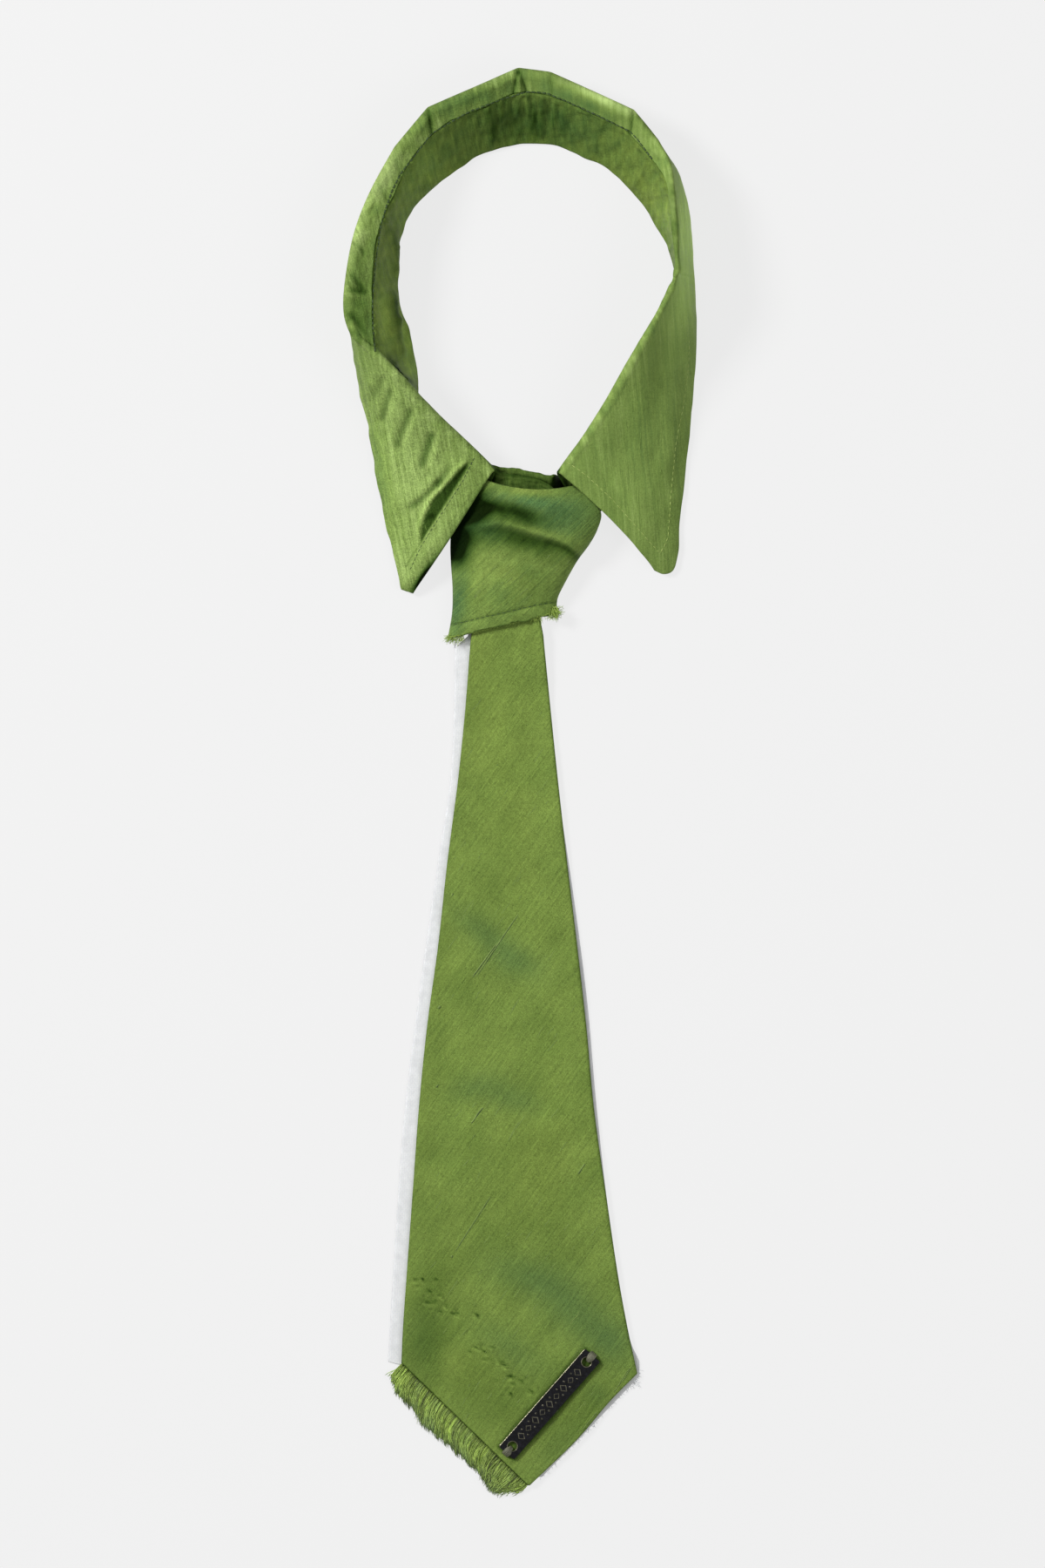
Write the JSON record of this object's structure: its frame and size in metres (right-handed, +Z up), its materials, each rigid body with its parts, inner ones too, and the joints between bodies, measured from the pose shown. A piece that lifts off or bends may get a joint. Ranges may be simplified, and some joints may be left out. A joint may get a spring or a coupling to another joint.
{
  "type": "necktie with an attached pointed shirt collar",
  "caption": "Ready-made silk necktie with a pointed shirt collar round the neck, a hollow knot, and a wide blade with a frayed hem and a sewn-on bar.",
  "frame": {"origin": "on the resting surface, under the middle of the outline seen from above", "axes": "+Z up from the surface it lies on, +Y from the blade's point to the back of the collar, +X to the right with the front of the tie up"},
  "size_m": [0.1298, 0.5223, 0.0328],
  "materials": {
    "collar_silk": "slubbed shot silk, soft sheen",
    "tie_silk": "slubbed shot silk, soft sheen",
    "fringe_silk": "loose silk threads",
    "backing_cloth": "plain white weave, matt",
    "bar_metal": "black, glossy, worn edges",
    "sewing_thread": "stranded cotton thread",
    "button": "satin"
  },
  "bodies": {
    "root": {"collar_stand": "collar_silk", "collar_leaf": "collar_silk", "collar_button": "button", "knot": "tie_silk", "blade_front": "tie_silk", "blade_backing": "backing_cloth", "blade_fringe": "fringe_silk", "name_plate": "bar_metal", "thread_lower": "sewing_thread", "thread_upper": "sewing_thread"}
  },
  "joints": []
}
